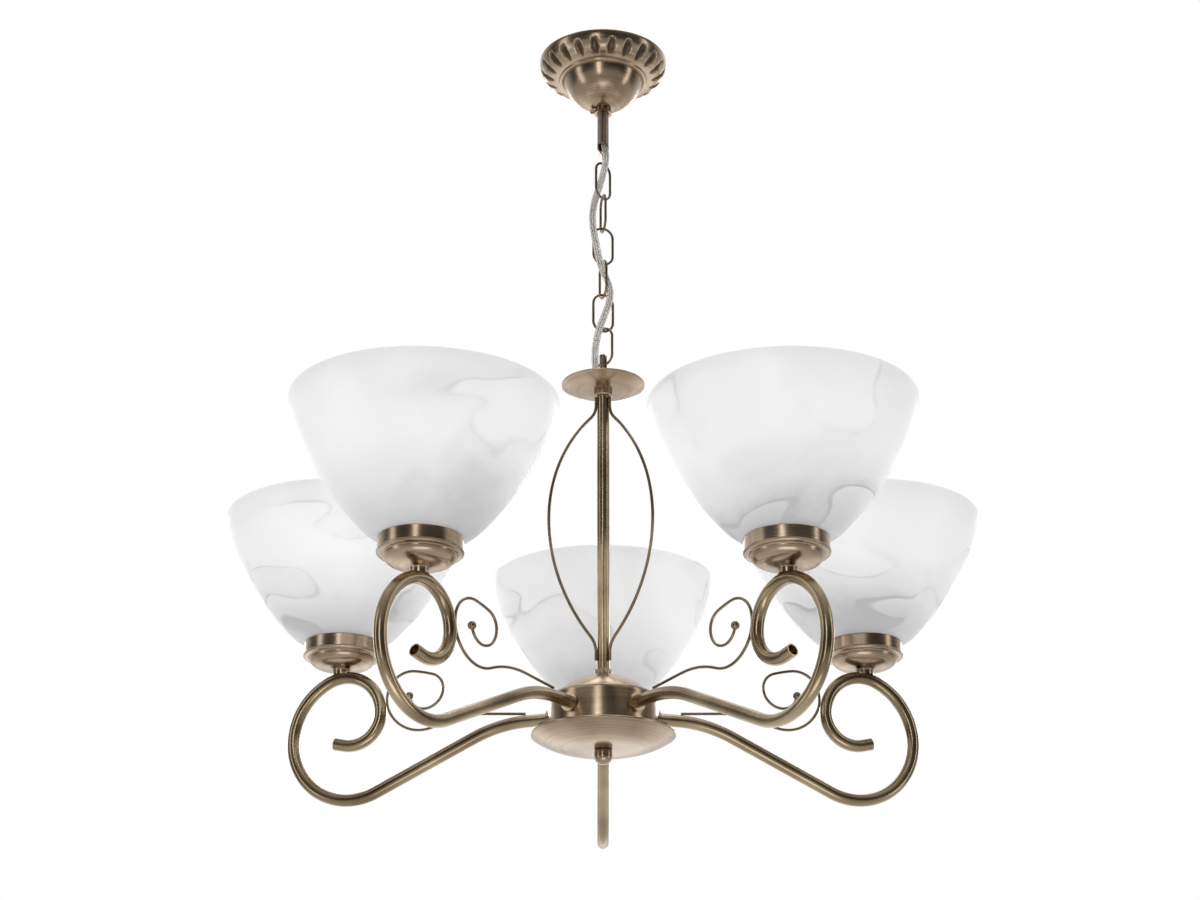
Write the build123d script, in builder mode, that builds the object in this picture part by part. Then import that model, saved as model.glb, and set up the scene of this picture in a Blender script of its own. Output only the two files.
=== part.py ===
from build123d import *
import math
import os

# Five-light pendant on a chain. The ceiling is the plane Z = 0 and the light hangs down along -Z,
# with the chain and the stem on the Z axis. Lengths are millimetres, angles degrees.

# Fits
running_fit = 0.3
contact_gap = 0.15
thread_fit = 0.1
through = 1

# Ceiling strap, nipple and supply terminals
crossbar_length = 100
crossbar_width = 18
crossbar_thickness = 2.5
crossbar_corner = 3
slot_spacing = 70
slot_length = 14
slot_width = 4.6
nipple_radius = 4.0
nipple_bore_radius = 2.6
nipple_length = 44
lock_nut_across_flats = 14
lock_nut_height = 4
terminal_length = 26
terminal_width = 12
terminal_height = 11
terminal_corner = 1.5
terminal_x = 23
terminal_pole_radius = 1.8
terminal_pole_pitch = 8
earth_screw_x = -18
earth_screw_radius = 1.9
earth_screw_length = 9
earth_head_radius = 3.8
earth_head_height = 2.6

# Hanger tube with its hook eye
hanger_wall = 1.3
hanger_top = -34
hanger_bottom = -94.5
seam_width = 1.6
mouth_rise = 7
mouth_corner = 0.6
tongue_width = 6.5
tongue_thickness = 1.4
tongue_drop = 8
eye_drop = 14.1
eye_hole_radius = 3.5
eye_rim = 1.8
eye_play = 0.7

# Ceiling cup
canopy_rim_radius = 60.7
canopy_rim_height = 1.2
canopy_flare_radius = 18.4
canopy_bead_radius = 1.9
canopy_bowl_bottom = -51.6
canopy_wall = 1.4
hollow_count = 22
hollow_length = 15.5
hollow_width = 6.4
hollow_depth = 0.9
hollow_angle = 48
hollow_taper = 20

# Sleeve and set screw
collar_wall = 1.85
collar_height = 5.4
collar_lip = 0.8
collar_lip_height = 2.2
collar_flange = 1.3
collar_flange_height = 1.6
screw_radius = 1.5
screw_drop = 2.4
knob_radius = 2.6
knob_length = 3.6
knob_flutes = 8
knob_flute_radius = 0.5

# Chain, each link turned about Z against the face-on plane
link_length = 39.5
link_width = 21.4
link_wire_radius = 1.2
link_play = 0.2
link_seam = 0.3
link_sides = 8
link_turns = [46, 104, 20, 109, 18, -30]

# Coupler, dish, stem and bows
coupler_radius = 3.4
coupler_rise = 7.3
coupler_slot_depth = 13.5
coupler_pin_radius = 1.2
foot_radius = 10.6
foot_height = 7
foot_edge = 1
cord_socket_depth = 3.4
dish_radius = 37.8
dish_rim_z = -340.4
dish_drop = 5.6
dish_floor_radius = 14
dish_wall = 1.4
stem_nut_radius = 8.4
stem_nut_height = 5
stem_nut_edge = 1
stem_radius = 5.6
stem_bore_radius = 4.4
stem_bottom = -612.0
bow_wire_radius = 1.4
bow_reach = 53.3
bow_count = 3
bow_first_azimuth = 85
bow_top = -353
bow_bottom = -604
bow_end_length = 8
bow_end_radius = 20
bow_sides = 8

# Hub
dome_radius = 34
dome_height = 24
dome_wall = 1.4
drum_radius = 48.1
drum_height = 30
drum_wall = 1.6
drum_shoulder = 4
band_step = 2.5
pan_radius = 62.9
pan_rim_drop = 9.25
pan_depth = 18.4
pan_floor_radius = 22
pan_wall = 1.5
pan_bead_radius = 1.1
finial_radius = 7.9
finial_length = 10.5
finial_crown = 3.2
finial_thread_depth = 6
tie_rod_radius = 2.0
tie_rod_engagement = 2.4
hub_terminal_length = 24
hub_terminal_width = 11
hub_terminal_height = 10
hub_terminal_corner = 1.5

# Arms
arm_count = 5
first_arm_azimuth = 18
arm_radius = 5.5
arm_entry_drop = 16
arm_entry_depth = 6.6
arm_bend_rho = 69.3
arm_bend_radius = 124
loop_centre_rho = 236.6
loop_centre_drop = 0.1
loop_radius = 58.2
loop_turn = 179
upper_curl_radius = 36
upper_curl_turn = 117
lower_curl_radius = 28
lower_curl_turn = 102
arm_tail_length = 9
arm_bore_radius = 4.3
arm_bore_depth = 7
arm_sides = 12
grommet_radius = 8.2
grommet_height = 2.6
arm_nut_across_flats = 15
arm_nut_length = 3.6
arm_wire_radius = 1.3
arm_wire_tuck = 4
arm_wire_spread = 7
lead_gap = 0.8

# Scrolls on the arms, points as distance from the stem and height above the arm's entry
scroll_wire_radius = 1.25
scroll_sides = 6
scroll_start_rho = 72
scroll_hump = (111, 10.4)
scroll_points = [
    (157, 3.4), (200.4, 18), (203.8, 38), (178, 56), (160.5, 51.8), (150.4, 38), (165, 20.5), (182, 31),
]
ball_radius = 3.7

# Cups, glass and lampholders
cup_rho = 250
cup_ring_radius = 34.7
cup_ring_height = 14
cup_lip_radius = 1.6
cup_bowl_radius = 25.4
cup_bowl_height = 10
cup_wall = 1.2
cup_nipple_radius = 7.84
cup_nipple_height = 3.4
shade_widest_radius = 111
shade_height = 130.7
shade_rim_rise = 8
shade_shoulder_radius = 45
shade_side_angle = 32
shade_side_height = 22.1
shade_base_radius = 19
shade_wall = 3.2
shade_hole_radius = 17
holder_radius = 15.6
holder_stud_radius = 6
holder_step_height = 14
holder_thread_radius = 13.4
holder_thread_depth = 26
holder_height = 58
shade_ring_radius = 20.5
shade_ring_height = 3.5

# Supply cord: out of the hanger tube, through the first link, left of the second, through the
# fourth and down the front of the last two into the coupler foot
cord_radius = 2.5
cord_route = [
    (0.3, 0.3, -46), (0.7, 0.0, -62), (0.5, -0.2, -78), (1.0, -1.0, -92), (2.9, -5.9, -102),
    (2.6, -8.2, -111), (0.8, -5.4, -121), (-2.4, -0.8, -132), (-6.6, 2.6, -143), (-9.2, 2.2, -155),
    (-10.2, -2.4, -169), (-9.2, -7.6, -184), (-6.4, -9.2, -200), (-3.6, -6.8, -216), (1.4, -3.0, -229),
    (6.6, -4.0, -242), (6.6, -7.0, -256), (2.2, -7.4, -270), (-3.0, -6.6, -284), (-6.6, -5.2, -298),
    (-7.7, -3.0, -312), (-7.0, -1.6, -326), (-6.9, -1.8, -340.6),
]
cord_arc_share = 0.45

# Derived sizes of the hanger and the chain
hanger_bore_radius = nipple_radius + contact_gap
hanger_radius = hanger_bore_radius + hanger_wall
eye_centre_z = hanger_bottom - eye_drop
first_link_top = eye_centre_z - eye_hole_radius + eye_play + 2 * link_wire_radius
link_pitch = link_length - 4 * link_wire_radius - link_play
link_tops = [first_link_top - link_pitch * n for n in range(len(link_turns))]
last_link_inside = link_tops[-1] - link_length + 2 * link_wire_radius

# Derived heights of the coupler, dish and stem
coupler_pin_z = last_link_inside + contact_gap + coupler_pin_radius
coupler_top = coupler_pin_z + coupler_rise
dish_floor_z = dish_rim_z - dish_drop
foot_bottom = dish_floor_z + dish_wall
foot_top = foot_bottom + foot_height
stem_top = foot_top - cord_socket_depth - contact_gap
stem_nut_top = dish_floor_z - contact_gap

# Derived heights of the hub and the arms
dome_base_z = stem_bottom - dome_height
drum_top = dome_base_z - contact_gap
drum_bottom = drum_top - drum_height
arm_entry_z = drum_top - arm_entry_drop
arm_inner_rho = drum_radius - arm_entry_depth
pan_rim_z = drum_bottom - pan_rim_drop
pan_floor_z = pan_rim_z - pan_depth
finial_top = pan_floor_z - contact_gap
tie_rod_top = stem_top + tie_rod_engagement
loop_centre_z = arm_entry_z - loop_centre_drop

# The arm's straight run down to its loop is the inner tangent of the first bend and the loop
bend_to_loop_rho = loop_centre_rho - arm_bend_rho
bend_to_loop_z = loop_centre_z - (arm_entry_z - arm_bend_radius)
bend_to_loop = math.hypot(bend_to_loop_rho, bend_to_loop_z)
tangent_share = (arm_bend_radius + loop_radius) / bend_to_loop
arm_slope = math.degrees(math.atan2(bend_to_loop_rho, bend_to_loop_z) - math.acos(tangent_share))
loop_start_rho = loop_centre_rho - loop_radius * math.sin(math.radians(arm_slope))
loop_start_z = loop_centre_z - loop_radius * math.cos(math.radians(arm_slope))
loop_end_angle = math.radians(loop_turn - arm_slope - 90)
upper_curl_offset = loop_radius - upper_curl_radius
arm_crown_z = loop_centre_z + upper_curl_offset * math.sin(loop_end_angle) + upper_curl_radius

# Derived heights of the cups and shades, stacked on the crown of the arm
cup_bowl_bottom = arm_crown_z + arm_radius + cup_nipple_height
cup_step_z = cup_bowl_bottom + cup_bowl_height
cup_ring_top = cup_step_z + cup_ring_height
glass_seat_z = cup_step_z + cup_wall + contact_gap
glass_floor_z = glass_seat_z + shade_wall
glass_neck_radius = cup_ring_radius - cup_wall - running_fit
shade_rim_z = glass_seat_z + shade_height
holder_bottom = cup_bowl_bottom + cup_wall + contact_gap
holder_step_z = holder_bottom + holder_step_height
holder_top = holder_bottom + holder_height

arm_azimuths = [first_arm_azimuth + n * 360 / arm_count for n in range(arm_count)]
cup_axis = Axis((cup_rho, 0, 0), (0, 0, 1))
cup_plane = Plane(origin=(cup_rho, 0, 0), x_dir=(1, 0, 0), z_dir=(0, -1, 0))

os.makedirs("parts", exist_ok=True)


def upright_plane(azimuth):
    """Vertical plane through the Z axis, local x outward and local y up."""
    turn = math.radians(azimuth)
    outward = (math.cos(turn), math.sin(turn), 0)
    return Plane(origin=(0, 0, 0), x_dir=outward, z_dir=(math.sin(turn), -math.cos(turn), 0))


arm_planes = [Plane(origin=(0, 0, arm_entry_z), z_dir=upright_plane(a).x_dir) for a in arm_azimuths]


def save(part, name):
    """Label a finished piece and write its STEP file."""
    part.label = name
    export_step(part, f"parts/{name}.step")


def save_ring(part, name):
    """Write one copy of a piece made at azimuth 0 for each arm."""
    for number, azimuth in enumerate(arm_azimuths, start=1):
        save(part.rotate(Axis.Z, azimuth), f"{name}_{number}")


# Ceiling strap with two slots for the ceiling screws and a hole for the nipple
with BuildPart() as crossbar:
    with BuildSketch(Plane.XY.offset(-crossbar_thickness)):
        RectangleRounded(crossbar_length, crossbar_width, crossbar_corner)
        with Locations((-slot_spacing / 2, 0), (slot_spacing / 2, 0)):
            SlotOverall(slot_length, slot_width, mode=Mode.SUBTRACT)
        Circle(nipple_radius + thread_fit, mode=Mode.SUBTRACT)
        with Locations((earth_screw_x, 0)):
            Circle(earth_screw_radius + thread_fit, mode=Mode.SUBTRACT)
    extrude(amount=crossbar_thickness)
save(crossbar.part, "crossbar")

# Hollow threaded rod, flush with the ceiling at its top
with BuildPart() as nipple:
    with BuildSketch(Plane.XY.offset(-nipple_length)):
        Circle(nipple_radius)
        Circle(nipple_bore_radius, mode=Mode.SUBTRACT)
    extrude(amount=nipple_length)
save(nipple.part, "nipple")

# Two nuts, one under the strap and one on top of the hanger tube
nut_seats = [-crossbar_thickness - contact_gap - lock_nut_height, hanger_top + contact_gap]
with BuildPart() as lock_nuts:
    with BuildSketch(*[Plane.XY.offset(seat) for seat in nut_seats]):
        RegularPolygon(lock_nut_across_flats / 2, 6, major_radius=False)
        Circle(nipple_radius + thread_fit, mode=Mode.SUBTRACT)
    extrude(amount=lock_nut_height)
save(lock_nuts.part, "lock_nuts")

# Supply terminal block under the strap, with three poles open at both sides
terminal_top = -crossbar_thickness - contact_gap
with BuildPart() as terminal_block:
    with BuildSketch(Plane.XY.offset(terminal_top - terminal_height)):
        with Locations((terminal_x, 0)):
            RectangleRounded(terminal_length, terminal_width, terminal_corner)
    extrude(amount=terminal_height)
    with BuildSketch(Plane.XZ):
        with Locations((terminal_x, terminal_top - terminal_height / 2)):
            with GridLocations(terminal_pole_pitch, 1, 3, 1):
                Circle(terminal_pole_radius)
    extrude(amount=terminal_width, both=True, mode=Mode.SUBTRACT)
save(terminal_block.part, "terminal_block")

# Earthing screw through the strap, its head below
with BuildPart() as earth_screw:
    with BuildSketch(Plane.XY.offset(-earth_screw_length)):
        with Locations((earth_screw_x, 0)):
            Circle(earth_screw_radius)
    extrude(amount=earth_screw_length - contact_gap)
    with BuildSketch(Plane.XY.offset(terminal_top - earth_head_height)):
        with Locations((earth_screw_x, 0)):
            Circle(earth_head_radius)
    extrude(amount=earth_head_height)
save(earth_screw.part, "earth_screw")

# Hanger tube: rolled, with its seam in front and a rounded mouth. A tongue of its left wall
# runs on below the mouth, bends in to the axis and ends in the eye that carries the chain.
hanger_length = hanger_top - hanger_bottom
tongue_rho = hanger_radius - hanger_wall / 2
with BuildPart() as hanger_tube:
    with BuildSketch(Plane.XY.offset(hanger_bottom)):
        Circle(hanger_radius)
        Circle(hanger_bore_radius, mode=Mode.SUBTRACT)
    extrude(amount=hanger_length)
    with BuildSketch(Plane.XZ):
        with Locations((0, hanger_top - hanger_length / 2)):
            Rectangle(seam_width, hanger_length + 2 * through)
        with BuildLine():
            mouth = FilletPolyline(
                (-mouth_rise, hanger_bottom - through),
                (-seam_width / 2, hanger_bottom + mouth_rise),
                (seam_width / 2, hanger_bottom + mouth_rise),
                (mouth_rise, hanger_bottom - through),
                radius=mouth_corner,
            )
            Line(mouth @ 1, mouth @ 0)
        make_face()
    extrude(amount=hanger_radius + through, mode=Mode.SUBTRACT)
    with BuildSketch(Plane.XZ):
        with BuildLine():
            Polyline(
                (-tongue_rho, hanger_bottom + mouth_rise / 2),
                (-tongue_rho, hanger_bottom - tongue_thickness),
                (0, hanger_bottom - tongue_drop),
                (0, eye_centre_z),
            )
            offset(amount=tongue_thickness / 2, side=Side.BOTH, closed=True)
        make_face()
    extrude(amount=tongue_width / 2, both=True)
    with BuildSketch(Plane.YZ):
        with Locations((0, eye_centre_z)):
            Circle(eye_hole_radius + eye_rim)
    extrude(amount=tongue_thickness / 2, both=True)
    with BuildSketch(Plane.YZ):
        with Locations((0, eye_centre_z)):
            Circle(eye_hole_radius)
    extrude(amount=tongue_thickness, both=True, mode=Mode.SUBTRACT)
save(hanger_tube.part, "hanger_tube")

# Ceiling cup: convex flare, rolled bead and a bowl of even wall, with a ring of pressed ovals
flare_centre_r = canopy_rim_radius - canopy_flare_radius
flare_bottom_z = -canopy_rim_height - canopy_flare_radius
bowl_rim_radius = flare_centre_r - 2 * canopy_bead_radius
bowl_rise = flare_bottom_z - canopy_bowl_bottom
bowl_radius = (bowl_rim_radius**2 + bowl_rise**2) / (2 * bowl_rise)
bowl_centre_z = canopy_bowl_bottom + bowl_radius
bowl_angle = math.degrees(math.asin(bowl_rim_radius / bowl_radius))
inner_flare_radius = canopy_flare_radius - canopy_wall
inner_bowl_radius = bowl_radius - canopy_wall
collar_bore_radius = hanger_radius + running_fit
collar_radius = collar_bore_radius + collar_wall
canopy_mouth_radius = collar_bore_radius + collar_wall / 2 + thread_fit
hollow_sin = math.sin(math.radians(hollow_angle))
hollow_cos = math.cos(math.radians(hollow_angle))
hollow_radius = flare_centre_r + (canopy_flare_radius - hollow_depth) * hollow_cos
hollow_z = -canopy_rim_height - (canopy_flare_radius - hollow_depth) * hollow_sin
hollow_planes = []
for number in range(hollow_count):
    turn = 2 * math.pi * number / hollow_count
    outward = Vector(math.cos(turn), math.sin(turn), 0)
    normal = outward * hollow_cos - Vector(0, 0, hollow_sin)
    along = outward * hollow_sin + Vector(0, 0, hollow_cos)
    hollow_seat = outward * hollow_radius + Vector(0, 0, hollow_z)
    hollow_planes.append(Plane(origin=hollow_seat, x_dir=along, z_dir=normal))
with BuildPart() as canopy:
    with BuildSketch(Plane.XZ):
        with BuildLine():
            flare = CenterArc((flare_centre_r, -canopy_rim_height), canopy_flare_radius, -90, 90)
            inner_flare = CenterArc((flare_centre_r, -canopy_rim_height), inner_flare_radius, -90, 90)
            bowl = CenterArc((0, bowl_centre_z), bowl_radius, -90, bowl_angle)
            inner_bowl = CenterArc((0, bowl_centre_z), inner_bowl_radius, -90, bowl_angle)
            Polyline(
                flare @ 1, (canopy_rim_radius, 0),
                (canopy_rim_radius - canopy_wall, 0), inner_flare @ 1,
            )
            Line(inner_flare @ 0, inner_bowl @ 1)
            Line(inner_bowl @ 0, bowl @ 0)
            ThreePointArc(
                bowl @ 1,
                (flare_centre_r - canopy_bead_radius, flare_bottom_z - canopy_bead_radius),
                flare @ 0,
            )
        make_face()
    revolve(axis=Axis.Z)
    with BuildSketch(Plane.XY.offset(canopy_bowl_bottom - through)):
        Circle(canopy_mouth_radius)
    extrude(amount=bowl_rise, mode=Mode.SUBTRACT)
    with BuildSketch(*hollow_planes):
        Ellipse(hollow_length / 2, hollow_width / 2)
    extrude(amount=canopy_wall + 2 * hollow_depth, taper=-hollow_taper, mode=Mode.SUBTRACT)
save(canopy.part, "canopy")

# Sleeve swaged into the mouth of the cup, with a lip and a hole for the set screw
collar_top = bowl_centre_z - math.sqrt(bowl_radius**2 - collar_radius**2) - contact_gap
collar_bottom = collar_top - collar_height
flange_radius = collar_radius + collar_flange
flange_bottom = bowl_centre_z - math.sqrt(inner_bowl_radius**2 - flange_radius**2) + contact_gap
flange_top = flange_bottom + collar_flange_height
screw_z = collar_top - screw_drop
shank_radius = canopy_mouth_radius - thread_fit
with BuildPart() as canopy_collar:
    with BuildSketch(Plane.XZ):
        with BuildLine():
            Polyline(
                (collar_bore_radius, flange_top),
                (flange_radius, flange_top),
                (flange_radius, flange_bottom),
                (shank_radius, flange_bottom),
                (shank_radius, collar_top),
                (collar_radius, collar_top),
                (collar_radius, collar_bottom + collar_lip_height),
                (collar_radius + collar_lip, collar_bottom + collar_lip_height - collar_lip),
                (collar_radius + collar_lip, collar_bottom),
                (collar_bore_radius, collar_bottom),
                close=True,
            )
        make_face()
    revolve(axis=Axis.Z)
    with BuildSketch(Plane.YZ):
        with Locations((0, screw_z)):
            Circle(screw_radius + running_fit)
    extrude(amount=-(collar_radius + collar_lip + through), mode=Mode.SUBTRACT)
save(canopy_collar.part, "canopy_collar")

# Set screw on the left, its tip just off the tube, with a fluted knob
knob_start = collar_radius + collar_lip + running_fit
with BuildPart() as set_screw:
    with BuildSketch(Plane.YZ.offset(-collar_bore_radius)):
        with Locations((0, screw_z)):
            Circle(screw_radius)
    extrude(amount=-(knob_start - collar_bore_radius))
    with BuildSketch(Plane.YZ.offset(-knob_start)):
        with Locations((0, screw_z)):
            Circle(knob_radius)
            with PolarLocations(knob_radius, knob_flutes):
                RegularPolygon(knob_flute_radius, 4, mode=Mode.SUBTRACT)
    extrude(amount=-knob_length)
save(set_screw.part, "set_screw")

# Chain links: wire bent to a long loop, butted with a fine seam at the middle of one side
link_bend_radius = link_width / 2 - link_wire_radius
link_side_half = (link_length - link_width) / 2
for number, (turn, top) in enumerate(zip(link_turns, link_tops), start=1):
    middle_z = top - link_length / 2
    with BuildPart() as link:
        with BuildLine(upright_plane(turn)) as link_wire:
            upper = CenterArc((0, middle_z + link_side_half), link_bend_radius, 0, 180)
            lower = CenterArc((0, middle_z - link_side_half), link_bend_radius, 180, 180)
            Line((link_bend_radius, middle_z + link_seam / 2), upper @ 0)
            Line(upper @ 1, lower @ 0)
            Line(lower @ 1, (link_bend_radius, middle_z - link_seam / 2))
        with BuildSketch(Plane(link_wire.wire() @ 0, z_dir=link_wire.wire() % 0)):
            RegularPolygon(link_wire_radius, link_sides)
        sweep()
    save(link.part, f"link_{number}")

# Coupler: a slotted tube that straddles the last link, on a foot that caps the stem
last_link_plane = upright_plane(link_turns[-1])
link_slot = 2 * link_wire_radius + 2 * running_fit
cord_end = cord_route[-1]
with BuildPart() as coupler:
    with BuildSketch(Plane.XY.offset(foot_bottom)):
        Circle(foot_radius)
    extrude(amount=foot_height)
    chamfer(coupler.edges().group_by(Axis.Z)[-1], length=foot_edge)
    with BuildSketch(Plane.XY.offset(foot_top)):
        Circle(coupler_radius)
    extrude(amount=coupler_top - foot_top)
    with BuildSketch(last_link_plane):
        with Locations((0, coupler_top - coupler_slot_depth / 2)):
            Rectangle(2 * coupler_radius + through, coupler_slot_depth + through)
    extrude(amount=link_slot / 2, both=True, mode=Mode.SUBTRACT)
    with BuildSketch(last_link_plane):
        with Locations((0, coupler_pin_z)):
            Circle(coupler_pin_radius + thread_fit)
    extrude(amount=coupler_radius + through, both=True, mode=Mode.SUBTRACT)
    with BuildSketch(Plane.XY.offset(foot_bottom)):
        Circle(stem_radius + thread_fit)
    extrude(amount=stem_top + contact_gap - foot_bottom, mode=Mode.SUBTRACT)
    with BuildSketch(Plane.XY.offset(stem_top)):
        Circle(tie_rod_radius + thread_fit)
    extrude(amount=tie_rod_engagement + contact_gap, mode=Mode.SUBTRACT)
    with BuildSketch(Plane.XY.offset(stem_top)):
        with Locations((cord_end[0], cord_end[1])):
            Circle(cord_radius + running_fit)
    extrude(amount=foot_top - stem_top + through, mode=Mode.SUBTRACT)
save(coupler.part, "coupler")

# Cross pin through the coupler, resting inside the last link
with BuildPart() as coupler_pin:
    with BuildSketch(last_link_plane):
        with Locations((0, coupler_pin_z)):
            Circle(coupler_pin_radius)
    extrude(amount=coupler_radius + 2 * contact_gap, both=True)
save(coupler_pin.part, "coupler_pin")

# Shallow dish clamped between the coupler foot and the ring nut
dish_run = dish_radius - dish_floor_radius
dish_arc_radius = (dish_run**2 + dish_drop**2) / (2 * dish_drop)
dish_centre = (dish_floor_radius, dish_floor_z + dish_arc_radius)
dish_arc_angle = math.degrees(math.asin(dish_run / dish_arc_radius))
with BuildPart() as bobeche:
    with BuildSketch(Plane.XZ):
        with BuildLine():
            under = CenterArc(dish_centre, dish_arc_radius, -90, dish_arc_angle)
            over = CenterArc(dish_centre, dish_arc_radius - dish_wall, -90, dish_arc_angle)
            TangentArc(under @ 1, over @ 1, tangent=under % 1)
            Polyline(
                over @ 0, (stem_radius + thread_fit, foot_bottom - contact_gap),
                (stem_radius + thread_fit, dish_floor_z), under @ 0,
            )
        make_face()
    revolve(axis=Axis.Z)
save(bobeche.part, "bobeche")

# Ring nut under the dish
with BuildPart() as stem_nut:
    with BuildSketch(Plane.XY.offset(stem_nut_top - stem_nut_height)):
        Circle(stem_nut_radius)
        Circle(stem_radius + thread_fit, mode=Mode.SUBTRACT)
    extrude(amount=stem_nut_height)
    chamfer(stem_nut.edges().group_by(Axis.Z)[0].sort_by(SortBy.LENGTH)[-1], length=stem_nut_edge)
save(stem_nut.part, "stem_nut")

# Central tube from the coupler foot to the hub
with BuildPart() as stem:
    with BuildSketch(Plane.XY.offset(stem_bottom)):
        Circle(stem_radius)
        Circle(stem_bore_radius, mode=Mode.SUBTRACT)
    extrude(amount=stem_top - stem_bottom)
save(stem.part, "stem")

# Three wires bowed round the stem: straight ends along it, then a reverse bend into one long arc
bow_end_rho = stem_radius + contact_gap + bow_wire_radius
bow_middle_z = (bow_top + bow_bottom) / 2
bow_half = (bow_top - bow_bottom) / 2 - bow_end_length
bow_rise = bow_reach - bow_end_rho
bow_centres_apart = (bow_half**2 + bow_rise**2) / (2 * bow_rise)
bow_arc_radius = bow_centres_apart - bow_end_radius
bow_angle = math.degrees(math.asin(bow_half / bow_centres_apart))
bow_centre = (bow_reach - bow_arc_radius, bow_middle_z)
upper_end_centre = (bow_end_rho + bow_end_radius, bow_middle_z + bow_half)
lower_end_centre = (bow_end_rho + bow_end_radius, bow_middle_z - bow_half)
with BuildPart() as bow_wires:
    for number in range(bow_count):
        bow_plane = upright_plane(bow_first_azimuth + 360 * number / bow_count)
        with BuildLine(bow_plane) as bow_path:
            upper_end = CenterArc(upper_end_centre, bow_end_radius, 180, bow_angle)
            CenterArc(bow_centre, bow_arc_radius, bow_angle, -2 * bow_angle)
            lower_end = CenterArc(lower_end_centre, bow_end_radius, 180 - bow_angle, bow_angle)
            Line((bow_end_rho, bow_top), upper_end @ 0)
            Line(lower_end @ 1, (bow_end_rho, bow_bottom))
        with BuildSketch(Plane(bow_path.wire() @ 0, z_dir=bow_path.wire() % 0)):
            RegularPolygon(bow_wire_radius, bow_sides)
        sweep()
save(bow_wires.part, "bow_wires")

# Dome on top of the hub, a shell with a hole for the stem's end
dome_arc_radius = (dome_radius**2 + dome_height**2) / (2 * dome_height)
dome_centre_z = stem_bottom - dome_arc_radius
dome_angle = math.degrees(math.acos(dome_radius / dome_arc_radius))
dome_inner_radius = dome_arc_radius - dome_wall
dome_inner_angle = math.degrees(math.asin((dome_base_z - dome_centre_z) / dome_inner_radius))
with BuildPart() as hub_dome:
    with BuildSketch(Plane.XZ):
        with BuildLine():
            dome_centre = (0, dome_centre_z)
            outer = CenterArc(dome_centre, dome_arc_radius, dome_angle, 90 - dome_angle)
            inner = CenterArc(dome_centre, dome_inner_radius, dome_inner_angle, 90 - dome_inner_angle)
            Line(outer @ 0, inner @ 0)
            Line(outer @ 1, inner @ 1)
        make_face()
    revolve(axis=Axis.Z)
    with BuildSketch(Plane.XY.offset(dome_base_z)):
        Circle(tie_rod_radius + running_fit)
    extrude(amount=dome_height + through, mode=Mode.SUBTRACT)
save(hub_dome.part, "hub_dome")

# Drum of the hub: plate, rounded shoulder, wall with five arm holes, and a stepped band below
pan_arc_run = pan_radius - pan_floor_radius
pan_arc_radius = (pan_arc_run**2 + pan_depth**2) / (2 * pan_depth)
pan_centre = (pan_floor_radius, pan_floor_z + pan_arc_radius)
pan_arc_angle = math.degrees(math.asin(pan_arc_run / pan_arc_radius))
band_radius = drum_radius - band_step
band_seat = math.sqrt((pan_arc_radius - pan_wall) ** 2 - (band_radius - pan_floor_radius) ** 2)
band_bottom = pan_centre[1] - band_seat + contact_gap
drum_corner = (drum_radius - drum_shoulder, drum_top - drum_shoulder)
drum_hole_radius = dome_radius - 2 * drum_wall
with BuildPart() as hub_drum:
    with BuildSketch(Plane.XZ):
        with BuildLine():
            shoulder = CenterArc(drum_corner, drum_shoulder, 0, 90)
            Polyline(
                shoulder @ 1,
                (drum_hole_radius, drum_top),
                (drum_hole_radius, drum_top - drum_wall),
                (drum_radius - drum_wall, drum_top - drum_wall),
                (drum_radius - drum_wall, drum_bottom + drum_wall),
                (band_radius - drum_wall, drum_bottom),
                (band_radius - drum_wall, band_bottom),
                (band_radius, band_bottom),
                (band_radius, drum_bottom),
                (drum_radius, drum_bottom),
                shoulder @ 0,
            )
        make_face()
    revolve(axis=Axis.Z)
    with BuildSketch(*arm_planes):
        Circle(arm_radius + thread_fit)
    extrude(amount=drum_radius + through, mode=Mode.SUBTRACT)
save(hub_drum.part, "hub_drum")

# Pan under the drum, a dished plate with a beaded rim
pan_bead_crest = (pan_radius - pan_wall / 2 + pan_bead_radius / 2, pan_rim_z + pan_bead_radius)
with BuildPart() as pan:
    with BuildSketch(Plane.XZ):
        with BuildLine():
            under = CenterArc(pan_centre, pan_arc_radius, -90, pan_arc_angle)
            over = CenterArc(pan_centre, pan_arc_radius - pan_wall, -90, pan_arc_angle)
            ThreePointArc(under @ 1, pan_bead_crest, over @ 1)
            Polyline(
                over @ 0, (tie_rod_radius + thread_fit, pan_floor_z + pan_wall),
                (tie_rod_radius + thread_fit, pan_floor_z), under @ 0,
            )
        make_face()
    revolve(axis=Axis.Z)
save(pan.part, "pan")

# Rod from the coupler foot through the stem and the hub into the finial
with BuildPart() as tie_rod:
    with BuildSketch(Plane.XY.offset(finial_top - finial_thread_depth + contact_gap)):
        Circle(tie_rod_radius)
    extrude(amount=tie_rod_top - finial_top + finial_thread_depth - contact_gap)
save(tie_rod.part, "tie_rod")

# Finial, a domed nut under the pan
finial_bottom = finial_top - finial_length
crown_turn = math.pi / 4
crown_middle = (
    finial_radius * math.sin(crown_turn),
    finial_bottom + finial_crown * (1 - math.cos(crown_turn)),
)
with BuildPart() as finial:
    with BuildSketch(Plane.XZ):
        with BuildLine():
            crown = ThreePointArc(
                (0, finial_bottom), crown_middle, (finial_radius, finial_bottom + finial_crown)
            )
            Polyline(
                crown @ 1, (finial_radius, finial_top), (tie_rod_radius + thread_fit, finial_top),
                (tie_rod_radius + thread_fit, finial_top - finial_thread_depth),
                (0, finial_top - finial_thread_depth), crown @ 0,
            )
        make_face()
    revolve(axis=Axis.Z)
save(finial.part, "finial")

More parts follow.
